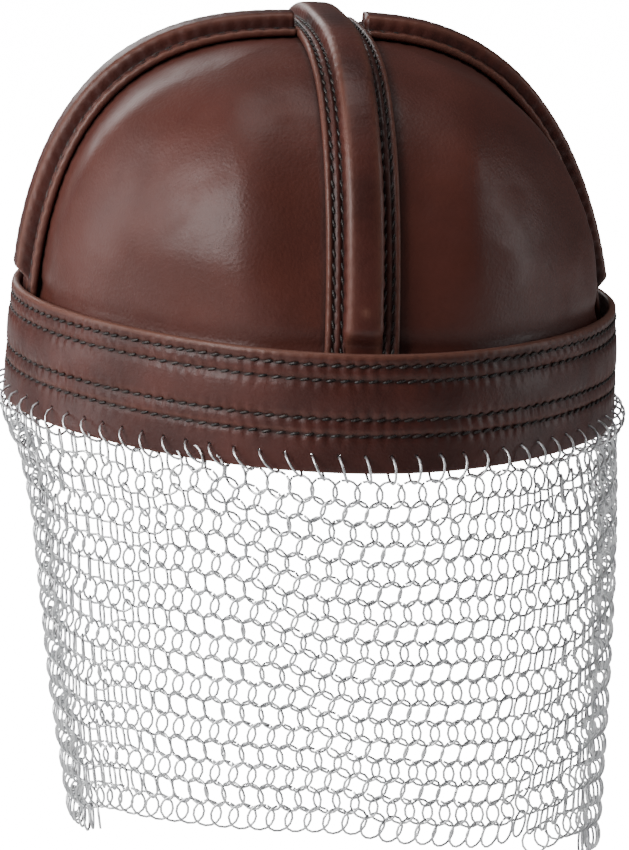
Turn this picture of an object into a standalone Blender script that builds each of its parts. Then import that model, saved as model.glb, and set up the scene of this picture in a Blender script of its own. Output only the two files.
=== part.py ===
"""Leather helmet with a curtain of mail, at its real size in metres.

The origin is the middle of the head opening, in the plane of the headband's lower edge.
+Z is up, the face looks along -Y and the wearer's left is +X.  The crown is four moulded
gores whose seams lie in the planes X = 0 and Y = 0, each seam under a leather strip with a
padded ridge.  The headband holds the crown, and the mail hangs from rings through its edge.
"""

import math

import bmesh
import bpy
from mathutils import Matrix, Vector

# Fit between neighbouring pieces
GAP = 0.0003

# Headband: outer half sizes at its lower edge, and how much it narrows to the top
BAND_HALF_WIDTH = 0.1068
BAND_HALF_LENGTH = 0.1165
BAND_HEIGHT = 0.040
BAND_TAPER = 0.0018
BAND_WALL = 0.0026
BAND_SIDES = 84
BAND_ROWS = (
    {"height": 0.0, "swell": 0.0},
    {"height": 0.0155, "swell": 0.0},
    {"height": 0.0245, "swell": 0.0006},
    {"height": 0.0335, "swell": 0.0},
    {"height": BAND_HEIGHT, "swell": 0.0},
)
# Fullness of the plan outline between the seams: 0 is an ellipse, below 0 draws it in
PLAN_FULLNESS = -0.038

# Crown: outer face of the leather along the four seams
SEAM_HALF_WIDTH = 0.0994
SEAM_HALF_LENGTH = 0.1090
CROWN_FOOT = 0.009
CROWN_TOP = 0.1302
CROWN_WALL = 0.0026
RIM_POWER = 3.0
SHOULDER_POWER = {"left": 2.8, "back": 2.2, "right": 1.85, "front": 2.2}
# Between the seams each gore bulges out to this fuller form
BULGE = 0.0026
BULGE_ABOVE_BAND = 0.0022
BULGE_PLAN_GAIN = 0.024
BULGE_SHOULDER_GAIN = 0.35
BULGE_RISE = 0.030
BULGE_START = 0.0135
BULGE_RUN = 0.026
GORE_COLUMNS = 14
GORE_ROWS = 14
SEAM_HALF_GAP = 0.0004
APEX_HOLE = 0.0015
# Points this close together become one
WELD = 0.00002

# Ridged strips over the seams: the section, across the strip and above the crown
FLANGE = 0.0018
STRIP_HALF_WIDTH = 0.0123
RIDGE_HEIGHT = 0.0068
STRIP_SECTION = (
    {"across": -STRIP_HALF_WIDTH, "above": 0.0},
    {"across": -STRIP_HALF_WIDTH, "above": FLANGE},
    {"across": -0.0064, "above": FLANGE},
    {"across": -0.0054, "above": 0.0055},
    {"across": -0.0040, "above": 0.0066},
    {"across": 0.0, "above": RIDGE_HEIGHT},
    {"across": 0.0040, "above": 0.0066},
    {"across": 0.0054, "above": 0.0055},
    {"across": 0.0064, "above": FLANGE},
    {"across": STRIP_HALF_WIDTH, "above": FLANGE},
    {"across": STRIP_HALF_WIDTH, "above": 0.0},
    {"across": 0.0062, "above": 0.0},
    {"across": 0.0, "above": 0.0},
    {"across": -0.0062, "above": 0.0},
)
STRIP_FOOT = 0.027
RIDGE_FOOT = 0.0415
RIDGE_ROUNDING = 0.005
ROUNDING_SHARES = (0.0, 0.35, 0.7)
RIDGE_STOP = 0.010
STRIP_STATIONS = 16
PATH_FINENESS = 60
# The strip is dropped onto the crown from this far outside it
DROP_START = 0.020
DROP_REACH = 0.060

# Rings that carry the mail pass through these holes, even about the middle of the back
RING_COUNT = 42
RING_SPAN = math.radians(196.0)
RING_RADIUS = 0.00455
RING_HEIGHT = 0.0022
RING_LEAN = math.radians(37.0)
HOLE_RADIUS = 0.0010
HOLE_SIDES = 6
HOLE_CUTTER_LENGTH = 0.0104

# Mail curtain: its middle surface from top to bottom.  The sway moves it to the wearer's right,
# the shift moves it back, and the span is the angle from one free edge to the other
MAIL_NAMES = ("drop", "half_width", "half_length", "fullness", "sway", "shift", "span")
MAIL_SIZES = (
    (0.000, 0.1055, 0.1152, -0.038, 0.0000, 0.000, 200.0),
    (0.008, 0.1050, 0.1149, -0.034, 0.0006, 0.000, 200.0),
    (0.020, 0.1012, 0.1100, -0.018, 0.0050, 0.002, 199.0),
    (0.060, 0.0985, 0.0970, 0.020, 0.0080, 0.006, 196.0),
    (0.100, 0.0957, 0.0840, 0.030, 0.0104, 0.011, 192.0),
    (0.136, 0.0922, 0.0730, 0.030, 0.0132, 0.015, 188.0),
)
MAIL_ROWS = [dict(zip(MAIL_NAMES, sizes)) for sizes in MAIL_SIZES]
MAIL_TOP = -0.0004
MAIL_THICK = 0.0050
MAIL_SAG = 0.013
MAIL_GAP_ROWS = 8
MAIL_GAP_COLUMNS = 14
MAIL_GAP_SHARE = 0.62

LEATHER = {"colour": (0.107, 0.031, 0.024, 1.0), "roughness": 0.33, "metallic": 0.0}
LEATHER_DARK = {"colour": (0.070, 0.022, 0.018, 1.0), "roughness": 0.36, "metallic": 0.0}
STEEL = {"colour": (0.60, 0.61, 0.62, 1.0), "roughness": 0.28, "metallic": 1.0}


def clear_scene():
    """Remove what the start-up scene holds."""
    for obj in list(bpy.data.objects):
        bpy.data.objects.remove(obj, do_unlink=True)


def new_collection(name):
    """A collection of this name under the scene's own."""
    made = bpy.data.collections.new(name)
    bpy.context.scene.collection.children.link(made)
    return made


def new_material(name, finish):
    """A Principled material with the finish's colour, roughness and metallic value."""
    made = bpy.data.materials.new(name)
    made.use_nodes = True
    shader = made.node_tree.nodes["Principled BSDF"]
    shader.inputs["Base Color"].default_value = finish["colour"]
    shader.inputs["Roughness"].default_value = finish["roughness"]
    shader.inputs["Metallic"].default_value = finish["metallic"]
    made.diffuse_color = finish["colour"]
    return made


def add_object(name, shape, material, collection):
    """Turn a bmesh into an object of its own, shaded smooth but for its sharp edges."""
    mesh = bpy.data.meshes.new(name)
    bmesh.ops.recalc_face_normals(shape, faces=shape.faces)
    shape.to_mesh(mesh)
    shape.free()
    mesh.shade_smooth()
    mesh.set_sharp_from_angle(angle=math.radians(35.0))
    obj = bpy.data.objects.new(name, mesh)
    mesh.materials.append(material)
    collection.objects.link(obj)
    return obj


def smooth_step(value):
    """Ease from 0 to 1 as the value goes from 0 to 1."""
    value = min(max(value, 0.0), 1.0)
    return value * value * (3.0 - 2.0 * value)


def plan_point(angle, half_width, half_length, fullness):
    """A point of the plan outline: angle 0 is the left side, a quarter turn the back."""
    swell = 1.0 + fullness * math.sin(2.0 * angle) ** 2
    x = half_width * math.cos(angle) * swell
    y = half_length * math.sin(angle) * swell
    return Vector((x, y, 0.0))


def plan_outward(angle, half_width, half_length, fullness):
    """The level direction that looks straight out of the plan outline."""
    step = 0.01
    ahead = plan_point(angle + step, half_width, half_length, fullness)
    behind = plan_point(angle - step, half_width, half_length, fullness)
    along = (ahead - behind).normalized()
    return Vector((along.y, -along.x, 0.0))


def shoulder_power(x, y):
    """The crown's upright power in this direction, blended between the four seams."""
    side = SHOULDER_POWER["left"] if x > 0.0 else SHOULDER_POWER["right"]
    end = SHOULDER_POWER["back"] if y > 0.0 else SHOULDER_POWER["front"]
    span = (x / SEAM_HALF_WIDTH) ** 2 + (y / SEAM_HALF_LENGTH) ** 2
    share = 0.5 if span == 0.0 else (x / SEAM_HALF_WIDTH) ** 2 / span
    return side * share + end * (1.0 - share)


def crown_point(angle, rise, bulge):
    """A point on the crown's outer face.

    The rise is 0 at the foot and 1 at the top, and the bulge is 0 on the seam form and 1 on
    the fuller form between the seams.
    """
    turn = rise * math.pi / 2.0
    facing = plan_point(angle, SEAM_HALF_WIDTH, SEAM_HALF_LENGTH, PLAN_FULLNESS)
    upright = shoulder_power(facing.x, facing.y) + BULGE_SHOULDER_GAIN * bulge
    height = CROWN_FOOT + (CROWN_TOP - CROWN_FOOT) * math.sin(turn) ** (2.0 / upright)
    free = smooth_step((height - BAND_HEIGHT) / BULGE_RISE)
    added = (BULGE + BULGE_ABOVE_BAND * free) * bulge
    fullness = PLAN_FULLNESS + BULGE_PLAN_GAIN * free * bulge
    flat = plan_point(angle, SEAM_HALF_WIDTH + added, SEAM_HALF_LENGTH + added, fullness)
    flat *= max(math.cos(turn), 0.0) ** (2.0 / RIM_POWER)
    flat.z = height
    return flat


def seam_field(point):
    """Below 0 inside the crown's seam form, 0 on it and above 0 outside."""
    across = point.x / SEAM_HALF_WIDTH
    along = point.y / SEAM_HALF_LENGTH
    swell = 1.0 + PLAN_FULLNESS * math.sin(2.0 * math.atan2(along, across)) ** 2
    height = max((point.z - CROWN_FOOT) / (CROWN_TOP - CROWN_FOOT), 0.0)
    upright = shoulder_power(point.x, point.y)
    return (math.hypot(across, along) / swell) ** RIM_POWER + height**upright - 1.0


def drop_to_crown(start, inward):
    """Where a ray from outside meets the seam form, found by halving."""
    near, far = 0.0, DROP_REACH
    for _ in range(40):
        middle = (near + far) / 2.0
        if seam_field(start + inward * middle) > 0.0:
            near = middle
        else:
            far = middle
    return start + inward * near


def gore(name, turn_x, turn_y, material, collection):
    """One moulded quarter of the crown, on the side that the two signs name."""
    shape = bmesh.new()
    bmesh.ops.create_grid(shape, x_segments=GORE_COLUMNS, y_segments=GORE_ROWS, size=1.0)
    rises = even_rises(math.atan2(turn_y, turn_x), 0.0, 1.0, GORE_ROWS)
    for vertex in shape.verts:
        across = (vertex.co.x + 1.0) / 2.0
        rise = rises[round((vertex.co.y + 1.0) / 2.0 * GORE_ROWS)]
        quarter = math.atan2(
            turn_y * math.sin(across * math.pi / 2.0), turn_x * math.cos(across * math.pi / 2.0)
        )
        seam = crown_point(quarter, rise, 0.0)
        near_seam = min(abs(seam.x), abs(seam.y))
        share = smooth_step((near_seam - BULGE_START) / BULGE_RUN)
        spot = seam.lerp(crown_point(quarter, rise, 1.0), share)
        spot.x = turn_x * max(abs(spot.x), SEAM_HALF_GAP)
        spot.y = turn_y * max(abs(spot.y), SEAM_HALF_GAP)
        vertex.co = spot
    tip = [v for v in shape.verts if v.co.xy.length < 2.0 * APEX_HOLE]
    for vertex in tip:
        angle = math.atan2(abs(vertex.co.y), abs(vertex.co.x))
        vertex.co.x = turn_x * max(APEX_HOLE * math.cos(angle), SEAM_HALF_GAP)
        vertex.co.y = turn_y * max(APEX_HOLE * math.sin(angle), SEAM_HALF_GAP)
    bmesh.ops.remove_doubles(shape, verts=shape.verts, dist=WELD)
    obj = add_object(name, shape, material, collection)
    if (obj.data.polygons[0].center.normalized()).dot(obj.data.polygons[0].normal) < 0.0:
        obj.data.flip_normals()
    wall = obj.modifiers.new("Leather wall", "SOLIDIFY")
    wall.thickness = CROWN_WALL
    wall.offset = -1.0
    return obj


def strip_station(across, place, outward):
    """The strip's section at one place on its path, as points on and above the crown."""
    ring = []
    for row in STRIP_SECTION:
        start = place + across * row["across"] + outward * DROP_START
        foot = drop_to_crown(start, -outward)
        rounding = smooth_step((place.z - RIDGE_FOOT) / RIDGE_ROUNDING)
        above = row["above"]
        if above > FLANGE:
            above = FLANGE + (above - FLANGE) * rounding
        ring.append(foot + outward * (GAP + above))
    return ring


def strip(name, places, across, material, collection):
    """A strip with its ridge along a path on the crown, closed at both ends."""
    shape = bmesh.new()
    bmesh.ops.create_grid(
        shape, x_segments=len(STRIP_SECTION), y_segments=len(places) - 1, size=1.0
    )
    stations = []
    for index, place in enumerate(places):
        ahead = places[min(index + 1, len(places) - 1)]
        behind = places[max(index - 1, 0)]
        along = (ahead - behind).normalized()
        outward = across.cross(along)
        if outward.dot(place - Vector((0.0, 0.0, CROWN_FOOT))) < 0.0:
            outward.negate()
        stations.append(strip_station(across, place, outward.normalized()))
    for vertex in shape.verts:
        column = round((vertex.co.x + 1.0) / 2.0 * len(STRIP_SECTION)) % len(STRIP_SECTION)
        row = round((vertex.co.y + 1.0) / 2.0 * (len(places) - 1))
        vertex.co = stations[row][column]
    bmesh.ops.remove_doubles(shape, verts=shape.verts, dist=WELD)
    bmesh.ops.holes_fill(shape, edges=shape.edges, sides=0)
    return add_object(name, shape, material, collection)


def even_rises(angle, first, last, steps):
    """Rises from first to last that stand evenly along the crown's surface."""
    fine = PATH_FINENESS * steps
    rises = [first + (last - first) * index / fine for index in range(fine + 1)]
    spots = [crown_point(angle, rise, 0.0) for rise in rises]
    lengths = [0.0]
    for before, after in zip(spots, spots[1:]):
        lengths.append(lengths[-1] + (after - before).length)
    picked = []
    index = 0
    for step in range(steps + 1):
        while lengths[index] < lengths[-1] * step / steps - 1e-9:
            index += 1
        picked.append(rises[index])
    return picked


def rise_at_height(angle, height):
    """The rise at which the seam form reaches this height."""
    low, high = 0.0, 1.0
    for _ in range(30):
        middle = (low + high) / 2.0
        if crown_point(angle, middle, 0.0).z < height:
            low = middle
        else:
            high = middle
    return low


def rise_at_reach(angle, reach):
    """The rise at which the seam form comes this close to the upright axis."""
    low, high = 0.0, 1.0
    for _ in range(30):
        middle = (low + high) / 2.0
        if crown_point(angle, middle, 0.0).xy.length > reach:
            low = middle
        else:
            high = middle
    return high


def seam_path(angle, stop_at, stations):
    """Points up one seam, from under the headband to this far from the upright axis."""
    rises = [rise_at_height(angle, STRIP_FOOT)]
    for share in ROUNDING_SHARES:
        rises.append(rise_at_height(angle, RIDGE_FOOT + share * RIDGE_ROUNDING))
    rounded = rise_at_height(angle, RIDGE_FOOT + RIDGE_ROUNDING)
    rises += even_rises(angle, rounded, rise_at_reach(angle, stop_at), stations)
    return [crown_point(angle, rise, 0.0) for rise in rises]


def headband(material, collection, cutters):
    """The band round the crown's foot, with a hole for each ring along its lower edge."""
    shape = bmesh.new()
    bmesh.ops.create_grid(
        shape, x_segments=BAND_SIDES, y_segments=len(BAND_ROWS) - 1, size=1.0
    )
    for vertex in shape.verts:
        angle = (vertex.co.x + 1.0) * math.pi
        row = BAND_ROWS[round((vertex.co.y + 1.0) / 2.0 * (len(BAND_ROWS) - 1))]
        inset = row["swell"] - BAND_TAPER * row["height"] / BAND_HEIGHT
        spot = plan_point(
            angle, BAND_HALF_WIDTH + inset, BAND_HALF_LENGTH + inset, PLAN_FULLNESS
        )
        spot.z = row["height"]
        vertex.co = spot
    bmesh.ops.remove_doubles(shape, verts=shape.verts, dist=WELD)
    obj = add_object("headband", shape, material, collection)
    if (obj.data.polygons[0].center.normalized()).dot(obj.data.polygons[0].normal) < 0.0:
        obj.data.flip_normals()
    wall = obj.modifiers.new("Leather wall", "SOLIDIFY")
    wall.thickness = BAND_WALL
    wall.offset = -1.0
    cut = obj.modifiers.new("Ring holes", "BOOLEAN")
    cut.operation = "DIFFERENCE"
    cut.solver = "EXACT"
    cut.object = ring_holes(material, cutters)
    return obj


def ring_frames():
    """For each ring its middle, the way out of the band and the way up its leaning plane."""
    frames = []
    half_width = BAND_HALF_WIDTH - BAND_WALL / 2.0
    half_length = BAND_HALF_LENGTH - BAND_WALL / 2.0
    for index in range(RING_COUNT):
        angle = math.pi / 2.0 + RING_SPAN * (index / (RING_COUNT - 1) - 0.5)
        middle = plan_point(angle, half_width, half_length, PLAN_FULLNESS)
        middle.z = RING_HEIGHT
        outward = plan_outward(angle, half_width, half_length, PLAN_FULLNESS)
        sideways = Vector((0.0, 0.0, 1.0)).cross(outward)
        upward = Vector((0.0, 0.0, math.cos(RING_LEAN))) - sideways * math.sin(RING_LEAN)
        frames.append((middle, outward, upward))
    return frames


def rod_matrix(middle, outward, upward):
    """The matrix that stands a rod's axis on the outward direction at this place."""
    matrix = Matrix.Identity(4)
    for index, column in enumerate((upward, outward.cross(upward).normalized(), outward)):
        matrix.col[index].xyz = column
    matrix.translation = middle
    return matrix


def ring_holes(material, cutters):
    """The cutter for the headband: a short rod where each ring passes through the wall."""
    shape = bmesh.new()
    for middle, outward, upward in ring_frames():
        bmesh.ops.create_cone(
            shape,
            cap_ends=True,
            segments=HOLE_SIDES,
            radius1=HOLE_RADIUS,
            radius2=HOLE_RADIUS,
            depth=HOLE_CUTTER_LENGTH,
            matrix=rod_matrix(middle + upward * RING_RADIUS, outward, upward),
        )
    obj = add_object("ring_hole_cutter", shape, material, cutters)
    obj.hide_render = True
    obj.display_type = "WIRE"
    return obj


def mail_size(drop, name):
    """A size of the mail's middle surface at this drop, eased between the table's rows."""
    for above, below in zip(MAIL_ROWS, MAIL_ROWS[1:]):
        if drop <= below["drop"]:
            break
    share = (drop - above["drop"]) / (below["drop"] - above["drop"])
    return above[name] + (below[name] - above[name]) * min(max(share, 0.0), 1.0)


def mail_point(across, drop_share):
    """A point of the mail's middle surface: across runs from -1 at one end to 1."""
    drop = drop_share * MAIL_ROWS[-1]["drop"]
    size = {name: mail_size(drop, name) for name in MAIL_NAMES}
    middle = math.acos(size["sway"] / size["half_width"])
    angle = middle + across * math.radians(size["span"]) / 2.0
    spot = plan_point(angle, size["half_width"], size["half_length"], size["fullness"])
    spot.x -= size["sway"]
    spot.y += size["shift"]
    spot.z = MAIL_TOP - drop - MAIL_SAG * drop_share * across**2
    return spot


def mail_curtain(material, collection):
    """The hanging mail as one pierced wall under the headband's lower edge.

    The openings stand in rows, each row shifted by half an opening against the next.
    """
    columns = 2 * MAIL_GAP_COLUMNS + 1
    rows = 2 * MAIL_GAP_ROWS + 1
    shape = bmesh.new()
    bmesh.ops.create_grid(shape, x_segments=columns, y_segments=rows, size=1.0)
    bar_share = 1.0 - MAIL_GAP_SHARE
    pitch_across = 2.0 / (MAIL_GAP_COLUMNS + bar_share + 0.5)
    pitch_down = 1.0 / (MAIL_GAP_ROWS + bar_share)
    openings = []
    for face in shape.faces:
        column = math.floor((face.calc_center_median().x + 1.0) / 2.0 * columns)
        row = math.floor((face.calc_center_median().y + 1.0) / 2.0 * rows)
        if column % 2 == 1 and row % 2 == 1:
            openings.append(face)
    for vertex in shape.verts:
        column = round((vertex.co.x + 1.0) / 2.0 * columns)
        row = rows - round((vertex.co.y + 1.0) / 2.0 * rows)
        shift = 0.5 * (((row + 1) // 2) % 2)
        across = ((column // 2) + (column % 2) * bar_share + shift) * pitch_across - 1.0
        if column == 0:
            across = -1.0
        if column == columns:
            across = 1.0
        down = (row // 2) + (row % 2) * bar_share
        vertex.co = mail_point(across, down * pitch_down)
    bmesh.ops.delete(shape, geom=openings, context="FACES")
    obj = add_object("mail_curtain", shape, material, collection)
    if (obj.data.polygons[0].center.xy.normalized()).dot(obj.data.polygons[0].normal.xy) < 0.0:
        obj.data.flip_normals()
    wall = obj.modifiers.new("Depth of the mail", "SOLIDIFY")
    wall.thickness = MAIL_THICK
    wall.offset = 0.0
    return obj


def main():
    """Build every piece of the helmet."""
    clear_scene()
    pieces = new_collection("chainmail_helmet")
    cutters = new_collection("cutters")
    leather = new_material("moulded_leather", LEATHER)
    band_leather = new_material("strap_leather", LEATHER_DARK)
    steel = new_material("zinc_steel", STEEL)
    gore("gore_back_left", 1.0, 1.0, leather, pieces)
    gore("gore_back_right", -1.0, 1.0, leather, pieces)
    gore("gore_front_left", 1.0, -1.0, leather, pieces)
    gore("gore_front_right", -1.0, -1.0, leather, pieces)
    across_x = Vector((1.0, 0.0, 0.0))
    across_y = Vector((0.0, 1.0, 0.0))
    back = seam_path(math.pi / 2.0, RIDGE_STOP, STRIP_STATIONS)
    front = seam_path(-math.pi / 2.0, RIDGE_STOP, STRIP_STATIONS)
    top = Vector((0.0, 0.0, CROWN_TOP))
    strip("ridge_front_back", back + [top] + front[::-1], across_x, band_leather, pieces)
    butt = STRIP_HALF_WIDTH + GAP
    left = seam_path(0.0, butt, STRIP_STATIONS)
    right = seam_path(math.pi, butt, STRIP_STATIONS)
    strip("ridge_left", left, across_y, band_leather, pieces)
    strip("ridge_right", right, across_y, band_leather, pieces)
    headband(band_leather, pieces, cutters)
    mail_curtain(steel, pieces)


main()
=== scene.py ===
"""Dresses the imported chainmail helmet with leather, stitches and linked rings.

The model's solids give the places and the sizes. Detailed pieces stand for them here: gores
with a soft hand-moulded surface, ridges and a headband with sewn grooves and puckers, stitches
of waxed thread, and a curtain of steel rings, each linked through its neighbours. Lengths are
in metres, +Z is up, the face looks along -Y and the wearer's left is +X.
"""

import logging
import math
import random
from collections.abc import Callable, Iterable
from dataclasses import dataclass, field
from enum import Enum

import bmesh
import bpy
from mathutils import Matrix, Vector, noise

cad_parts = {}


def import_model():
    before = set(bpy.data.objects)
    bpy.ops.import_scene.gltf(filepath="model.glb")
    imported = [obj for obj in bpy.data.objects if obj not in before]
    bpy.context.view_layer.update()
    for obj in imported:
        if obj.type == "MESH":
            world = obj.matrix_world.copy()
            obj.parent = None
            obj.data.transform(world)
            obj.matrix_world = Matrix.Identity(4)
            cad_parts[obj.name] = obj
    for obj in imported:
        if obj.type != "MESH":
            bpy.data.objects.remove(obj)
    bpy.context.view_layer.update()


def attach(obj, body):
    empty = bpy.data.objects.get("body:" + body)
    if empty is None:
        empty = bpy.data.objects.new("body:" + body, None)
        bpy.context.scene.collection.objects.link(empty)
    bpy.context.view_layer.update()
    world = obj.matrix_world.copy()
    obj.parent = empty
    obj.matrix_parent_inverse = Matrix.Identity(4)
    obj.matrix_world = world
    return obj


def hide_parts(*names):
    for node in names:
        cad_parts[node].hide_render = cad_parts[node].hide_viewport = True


LOG = logging.getLogger("helmet")
BODY = "root"
UP = Vector((0.0, 0.0, 1.0))
Layers = dict[str, float]


class Quarter(Enum):
    """A quarter of the crown, as the signs of X and Y on its side."""

    BACK_LEFT = (1.0, 1.0)
    BACK_RIGHT = (-1.0, 1.0)
    FRONT_LEFT = (1.0, -1.0)
    FRONT_RIGHT = (-1.0, -1.0)

    @property
    def node(self) -> str:
        """The name of the solid that this quarter stands for."""
        return "gore_" + self.name.lower()


class Lean(Enum):
    """Which edge of a row's rings stands outward, seen from outside the helmet."""

    LEFT_EDGE_OUT = 1.0
    RIGHT_EDGE_OUT = -1.0


# Shared shapes and small sums.


def ease(value: float) -> float:
    """Ease from 0 to 1 as the value goes from 0 to 1."""
    value = min(max(value, 0.0), 1.0)
    return value * value * (3.0 - 2.0 * value)


def bump(distance: float, reach: float) -> float:
    """A rounded bump of height 1 that fades out at the reach."""
    return math.exp(-((distance / reach) ** 2))


def unevenness(spot: Vector, size: float, seed: float) -> float:
    """Smooth noise between about -1 and 1.

    Args:
        spot: Where it is read.
        size: The length of one rise and fall.
        seed: Shifts the pattern, so that two uses differ.

    Returns:
        The noise at that place.
    """
    return noise.noise(spot / size + Vector((seed, 2.0 * seed, -seed)))


def finish_piece(
    name: str, shape: bmesh.types.BMesh, material: bpy.types.Material, nodes: Iterable[str] = ()
) -> bpy.types.Object:
    """Turn a shape into a piece that rides on the helmet.

    Args:
        name: The piece's name.
        shape: The finished shape, in place, which is freed here.
        material: What the piece is made of.
        nodes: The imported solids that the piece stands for.

    Returns:
        The new object, at the origin, with its place in its mesh.
    """
    mesh = bpy.data.meshes.new(name)
    shape.to_mesh(mesh)
    shape.free()
    mesh.shade_smooth()
    mesh.materials.append(material)
    piece = bpy.data.objects.new(name, mesh)
    bpy.context.scene.collection.objects.link(piece)
    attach(piece, BODY)
    if nodes:
        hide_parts(*nodes)
    LOG.info("%s: %d faces", name, len(mesh.polygons))
    return piece


@dataclass
class Loft:
    """A skin over closed sections that stand one after another.

    Each section is a list of (place, layers) pairs of the same length.
    """

    sections: list[list[tuple[Vector, Layers]]]
    ring: bool = False

    def build(self) -> bmesh.types.BMesh:
        """Lay the skin over the sections and close it.

        Returns:
            The closed shape, with a vertex layer for each of the sections' layers.
        """
        around = len(self.sections[0])
        along = len(self.sections) - (0 if self.ring else 1)
        shape = bmesh.new()
        names = list(self.sections[0][0][1])
        layers = {name: shape.verts.layers.float.new(name) for name in names}
        bmesh.ops.create_grid(shape, x_segments=around, y_segments=along, size=1.0)
        for vertex in shape.verts:
            column = round((vertex.co.x + 1.0) / 2.0 * around) % around
            row = round((vertex.co.y + 1.0) / 2.0 * along) % len(self.sections)
            place, values = self.sections[row][column]
            vertex.co = place
            for name in names:
                vertex[layers[name]] = values[name]
        bmesh.ops.remove_doubles(shape, verts=shape.verts, dist=1e-6)
        if not self.ring:
            bmesh.ops.holes_fill(shape, edges=shape.edges, sides=0)
        bmesh.ops.recalc_face_normals(shape, faces=shape.faces)
        return shape


@dataclass(frozen=True)
class Plan:
    """A level outline round the helmet: angle 0 is the left side, a quarter turn the back."""

    half_width: float
    half_length: float
    fullness: float = -0.038
    sway: float = 0.0
    shift: float = 0.0

    def point(self, angle: float, out: float = 0.0) -> Vector:
        """A point of the outline, moved outward by the second value."""
        swell = 1.0 + self.fullness * math.sin(2.0 * angle) ** 2
        x = (self.half_width + out) * math.cos(angle) * swell - self.sway
        y = (self.half_length + out) * math.sin(angle) * swell + self.shift
        return Vector((x, y, 0.0))

    def outward(self, angle: float) -> Vector:
        """The level direction that looks straight out of the outline."""
        along = (self.point(angle + 0.01) - self.point(angle - 0.01)).normalized()
        return Vector((along.y, -along.x, 0.0))

    def even_angles(self, first: float, last: float, steps: int) -> list[float]:
        """Angles from first to last that stand evenly along the outline.

        Args:
            first: The angle to start from.
            last: The angle to end at.
            steps: How many equal lengths lie between them.

        Returns:
            One angle more than there are steps.
        """
        fine = 8 * steps
        angles = [first + (last - first) * index / fine for index in range(fine + 1)]
        lengths = [0.0]
        for before, after in zip(angles, angles[1:]):
            lengths.append(lengths[-1] + (self.point(after) - self.point(before)).length)
        picked, index = [], 0
        for step in range(steps + 1):
            wanted = lengths[-1] * step / steps
            while index < fine and lengths[index + 1] < wanted:
                index += 1
            span = lengths[min(index + 1, fine)] - lengths[index]
            share = (wanted - lengths[index]) / span if span else 0.0
            picked.append(angles[index] + (angles[min(index + 1, fine)] - angles[index]) * share)
        return picked


# Shader groups and finishes.


@dataclass
class Tree:
    """A node tree with short ways to add nodes and join them."""

    tree: bpy.types.NodeTree

    def add(self, kind: str, **settings: object) -> bpy.types.Node:
        """Add a node of this kind with its properties set."""
        node = self.tree.nodes.new(kind)
        for name, value in settings.items():
            setattr(node, name, value)
        return node

    def feed(self, target: bpy.types.NodeSocket, source: object) -> None:
        """Join a socket to a source socket, or give it a value."""
        if isinstance(source, bpy.types.NodeSocket):
            self.tree.links.new(source, target)
        else:
            target.default_value = source

    def math(self, operation: str, first: object, second: object = 0.0) -> bpy.types.NodeSocket:
        """The result of one sum on two values or sockets."""
        node = self.add("ShaderNodeMath", operation=operation)
        self.feed(node.inputs[0], first)
        self.feed(node.inputs[1], second)
        return node.outputs[0]

    def band(self, value: object, low: float, high: float) -> bpy.types.NodeSocket:
        """Ease a value from 0 at low to 1 at high."""
        node = self.add("ShaderNodeMapRange", interpolation_type="SMOOTHSTEP")
        self.feed(node.inputs["Value"], value)
        node.inputs["From Min"].default_value = low
        node.inputs["From Max"].default_value = high
        return node.outputs["Result"]

    def blend(self, share: object, first: object, second: object) -> bpy.types.NodeSocket:
        """Blend two colours by a share from 0 to 1."""
        node = self.add("ShaderNodeMix", data_type="RGBA")
        self.feed(node.inputs["Factor"], share)
        self.feed(node.inputs["A"], first)
        self.feed(node.inputs["B"], second)
        return node.outputs["Result"]

    def noise(self, place: object, scale: object, detail: float = 2.0) -> bpy.types.NodeSocket:
        """Smooth noise about 0.5 at this scale."""
        node = self.add("ShaderNodeTexNoise")
        self.feed(node.inputs["Vector"], place)
        self.feed(node.inputs["Scale"], scale)
        node.inputs["Detail"].default_value = detail
        return node.outputs["Fac"]

    def cells(self, place: object, scale: object, feature: str = "F1") -> bpy.types.NodeSocket:
        """Distance within a pattern of cells at this scale."""
        node = self.add("ShaderNodeTexVoronoi", feature=feature)
        self.feed(node.inputs["Vector"], place)
        self.feed(node.inputs["Scale"], scale)
        return node.outputs["Distance"]

    def place(self) -> bpy.types.NodeSocket:
        """The place on the piece, in its own coordinates."""
        return self.add("ShaderNodeTexCoord").outputs["Object"]

    def stretched(self, scale: tuple[float, float, float]) -> bpy.types.NodeSocket:
        """The place on the piece, scaled unevenly, for long marks."""
        node = self.add("ShaderNodeMapping")
        self.feed(node.inputs["Vector"], self.place())
        node.inputs["Scale"].default_value = scale
        return node.outputs["Vector"]


def new_group(name: str, inputs: dict[str, float], outputs: Iterable[str]) -> Tree:
    """Start a node group with float inputs and outputs.

    Args:
        name: The group's name.
        inputs: Each input's name and default value.
        outputs: The names of the outputs.

    Returns:
        The group's tree.
    """
    group = bpy.data.node_groups.new(name, "ShaderNodeTree")
    for label, value in inputs.items():
        socket = group.interface.new_socket(label, in_out="INPUT", socket_type="NodeSocketFloat")
        socket.default_value = value
    for label in outputs:
        group.interface.new_socket(label, in_out="OUTPUT", socket_type="NodeSocketFloat")
    return Tree(group)


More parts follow.
